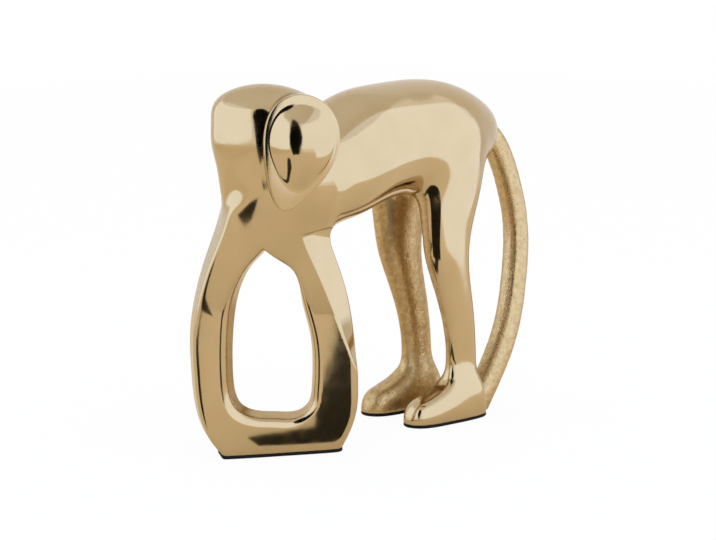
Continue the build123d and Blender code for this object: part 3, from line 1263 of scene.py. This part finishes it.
def ramp(tree, inlet, places, colours):
    """Colours between a low and a high value of a texture."""
    made = node(tree, "ShaderNodeValToRGB")
    for element, place, colour in zip(made.color_ramp.elements, places, colours):
        element.position = place
        element.color = (*colour, 1)
    link(tree, inlet, made.inputs["Fac"])
    return made.outputs["Color"]


def greys(levels):
    return [(level, level, level) for level in levels]


def mixed(tree, share, first, second, **settings):
    """The first colour at share 0 and the second, or their product, at share 1."""
    mix = node(tree, "ShaderNodeMix", data_type="RGBA", **settings)
    inlets = [s for s in mix.inputs if s.enabled]
    if isinstance(share, (int, float)):
        inlets[0].default_value = share
    else:
        link(tree, share, inlets[0])
    link(tree, first, inlets[1])
    link(tree, second, inlets[2])
    return [s for s in mix.outputs if s.enabled][0]


def bump_node(tree, height, depth):
    made = node(tree, "ShaderNodeBump")
    made.inputs["Distance"].default_value = depth * metres
    link(tree, height, made.inputs["Height"])
    return made


def gold():
    """Hand-polished gold-coloured metal, left as it came from the sand where cast says so."""
    material, tree, shader = new_material("gold")
    shader.inputs["Metallic"].default_value = 1
    share = node(tree, "ShaderNodeAttribute", attribute_name="cast").outputs["Fac"]
    mottle = noise_at(tree, mottle_size, 5, 0.6)
    speck = noise_at(tree, speck_size, 2)
    buff = ramp(tree, noise_at(tree, cloud_size, 3), (0.3, 0.7), polished_colours)
    sand = ramp(tree, mottle, (0.36, 0.64), cast_colours)
    specks = ramp(tree, speck, (0.27, 0.35), [pit_colour, (1, 1, 1)])
    pitted = mixed(tree, 1, sand, specks, blend_type="MULTIPLY")
    link(tree, mixed(tree, share, buff, pitted), shader.inputs["Base Color"])
    sheen = ramp(tree, noise_at(tree, sheen_size, 5), (0.3, 0.75), greys(polished_roughness))
    tooth = ramp(tree, mottle, (0.3, 0.7), greys(cast_roughness))
    link(tree, mixed(tree, share, sheen, tooth), shader.inputs["Roughness"])
    swirl = bump_node(tree, noise_at(tree, swirl_size, 1), swirl_depth)
    swirl.inputs["Strength"].default_value = 0.05
    pits = bump_node(tree, speck, speck_depth)
    link(tree, share, pits.inputs["Strength"])
    link(tree, swirl.outputs["Normal"], pits.inputs["Normal"])
    link(tree, pits.outputs["Normal"], shader.inputs["Normal"])
    return material


def felt():
    """Black felt: short fibres with a slight dusty sheen."""
    material, tree, shader = new_material("black_felt")
    set_inputs(shader, {"Roughness": 0.95, "Sheen Weight": 0.03, "Specular IOR Level": 0.15})
    fibre = noise_at(tree, fibre_size, 6, 0.7)
    link(tree, ramp(tree, fibre, (0.35, 0.7), felt_colours), shader.inputs["Base Color"])
    fuzz = bump_node(tree, fibre, fuzz_depth)
    fuzz.inputs["Strength"].default_value = 0.6
    link(tree, fuzz.outputs["Normal"], shader.inputs["Normal"])
    return material


def add_camera():
    level = cos(camera_elevation)
    back = np.array([sin(camera_azimuth) * level, -cos(camera_azimuth) * level, sin(camera_elevation)])
    camera = add_object("camera", bpy.data.cameras.new("camera"))
    camera.data.sensor_width = camera_sensor
    camera.data.lens = camera_lens
    camera.location = Vector((np.array(camera_target) + back * camera_distance) * metres + shift)
    camera.rotation_euler = Vector(back).to_track_quat("Z", "Y").to_euler()
    bpy.context.scene.camera = camera


def studio_point(azimuth, distance, height):
    """A point round the figure, by its direction to the right of the camera's."""
    angle = camera_azimuth + radians(azimuth)
    spot = camera_target + distance * np.array([sin(angle), -cos(angle), 0])
    spot[2] = height
    return spot


def add_panel(name, azimuth, distance, size, bottom):
    """A softbox that stands upright beside the figure and faces it."""
    light = bpy.data.lights.new(name, "AREA")
    light.shape = "RECTANGLE"
    light.size, light.size_y = (length * metres for length in size)
    light.energy = panel_radiance * np.pi * light.size * light.size_y
    light.color = panel_tint
    panel = add_object(name, light)
    spot = studio_point(azimuth, distance, bottom + size[1] / 2)
    panel.location = Vector(spot * metres + shift)
    way = Vector((camera_target - spot) * [1, 1, 0])
    panel.rotation_euler = way.to_track_quat("-Z", "Y").to_euler()
    panel.visible_camera = False


def mix_into(tree, output, share, first, second):
    """Gives an output the first shader at share 0 and the second at share 1."""
    mix = node(tree, "ShaderNodeMixShader")
    link(tree, share, mix.inputs["Fac"])
    link(tree, first.outputs[0], mix.inputs[1])
    link(tree, second.outputs[0], mix.inputs[2])
    link(tree, mix.outputs["Shader"], tree.nodes[output].inputs["Surface"])


def add_card(name, corners, colour):
    """A studio card that only mirrors see, from its front. From behind it is clear."""
    mesh = bpy.data.meshes.new(name)
    mesh.from_pydata([corner * metres + shift for corner in corners], [], [tuple(range(len(corners)))])
    card = add_object(name, mesh)
    material, tree, shader = new_material(name)
    set_inputs(shader, {"Base Color": (*colour, 1), "Roughness": 1, "Specular IOR Level": 0})
    behind = node(tree, "ShaderNodeNewGeometry").outputs["Backfacing"]
    mix_into(tree, "Material Output", behind, shader, node(tree, "ShaderNodeBsdfTransparent"))
    mesh.materials.append(material)
    card.visible_camera = False
    card.visible_diffuse = False
    card.visible_shadow = False


def background_share(tree):
    """1 for rays that show the background: straight from the camera, mirrored, or through glass."""
    rays = node(tree, "ShaderNodeLightPath").outputs
    total = rays["Is Camera Ray"]
    for name in ("Is Glossy Ray", "Is Transmission Ray"):
        add = node(tree, "ShaderNodeMath", operation="MAXIMUM")
        link(tree, total, add.inputs[0])
        link(tree, rays[name], add.inputs[1])
        total = add.outputs[0]
    return total


def floor_material():
    """A white floor that shows as background, and keeps part of the figure's shadow."""
    material, tree, shader = new_material("white_floor")
    set_inputs(shader, {"Base Color": (*floor_colour, 1), "Roughness": 0.9, "Specular IOR Level": 0})
    part = node(tree, "ShaderNodeMath", operation="MULTIPLY")
    part.inputs[1].default_value = floor_glow_share
    link(tree, background_share(tree), part.inputs[0])
    mix_into(tree, "Material Output", part.outputs[0], shader, node(tree, "ShaderNodeEmission"))
    return material


def add_floor():
    mesh = bpy.data.meshes.new("floor")
    half = floor_size / 2 * metres
    corners = [(-half, -half, 0), (half, -half, 0), (half, half, 0), (-half, half, 0)]
    mesh.from_pydata(corners, [], [(0, 1, 2, 3)])
    floor = add_object("floor", mesh)
    mesh.materials.append(floor_material())


def add_world():
    """A white background of strength 1, and a plain fill for everything else."""
    world = bpy.data.worlds.new("studio")
    bpy.context.scene.world = world
    world.use_nodes = True
    tree = world.node_tree
    fill = tree.nodes["Background"]
    set_inputs(fill, {"Color": (1, 1, 1, 1), "Strength": world_fill})
    shown = node(tree, "ShaderNodeBackground")
    set_inputs(shown, {"Color": (1, 1, 1, 1), "Strength": 1})
    mix_into(tree, "World Output", background_share(tree), fill, shown)


def slit_outline():
    """The opening that the camera looks through, which mirrors show as a dark oval."""
    middle = studio_point(0, slit_distance, 0)
    rows = reversed(slit_corners)
    return [middle + right_of_camera * across + np.array([0, 0, up]) for across, up in rows]


def wall_outline():
    middle = studio_point(180, wall_distance, 0)
    right = right_of_camera * wall_width / 2
    rise = np.array([0, 0, wall_height])
    return [middle - right, middle + right, middle + right + rise, middle - right + rise]


def ceiling_outline():
    return [studio_point(azimuth, ceiling_radius, wall_height) for azimuth in range(360, 0, -ceiling_step)]


def table_outline():
    """The table, which ends behind the right panel, by the directions and distances of its corners."""
    return [studio_point(azimuth, distance, table_lift) for azimuth, distance in table_corners]


def thigh_shade_outline():
    """Painted shade: a small dark upright sheet before the left thigh, which mirrors show as the shade
    between the legs.
    """
    (x0, y0), (x1, y1) = thigh_shade_ends
    low, high = thigh_shade_heights
    return [np.array(corner) for corner in ((x0, y0, low), (x1, y1, low), (x1, y1, high), (x0, y0, high))]


def level_outline(corners, height):
    return [np.array([x, y, height]) for x, y in corners]


def add_studio():
    for name, (azimuth, distance, size, bottom) in panels.items():
        add_panel(name, azimuth, distance, size, bottom)
    add_card("camera_slit", slit_outline(), slit_colour)
    add_card("table_card", table_outline(), table_colour)
    # Painted shadow of the figure on the floor, as a dark card
    add_card("shade_card", level_outline(shade_corners, shade_lift), shade_colour)
    add_card("shelf_card", level_outline(shelf_corners, shelf_height), table_colour)
    # Painted shade towards the camera, as dark strips on the floor and the shelf
    add_card("strip_card", level_outline(strip_corners, shade_lift), shade_colour)
    shelf_strip = level_outline(shelf_strip_corners, shelf_height + shade_lift)
    add_card("shelf_strip_card", shelf_strip, shade_colour)
    # Painted shade between the legs, as a dark sheet that mirrors see
    add_card("thigh_shade_card", thigh_shade_outline(), shade_colour)
    add_card("back_wall", wall_outline(), wall_colour)
    add_card("ceiling", ceiling_outline(), wall_colour)
    add_floor()
    add_world()


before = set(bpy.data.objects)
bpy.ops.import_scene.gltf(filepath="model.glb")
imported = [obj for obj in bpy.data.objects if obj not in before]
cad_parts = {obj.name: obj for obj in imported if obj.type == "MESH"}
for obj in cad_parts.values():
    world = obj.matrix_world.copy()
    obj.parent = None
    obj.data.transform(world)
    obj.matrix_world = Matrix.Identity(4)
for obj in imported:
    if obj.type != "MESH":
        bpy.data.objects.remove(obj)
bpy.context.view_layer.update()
shift = place_in_frame()
bpy.context.scene.view_settings.view_transform = "Standard"
gold_metal = gold()
add_castings(gold_metal)
add_ear("left_ear", 1, gold_metal)
add_ear("right_ear", -1, gold_metal)
add_tail(gold_metal)
add_pads(felt())
add_camera()
add_studio()
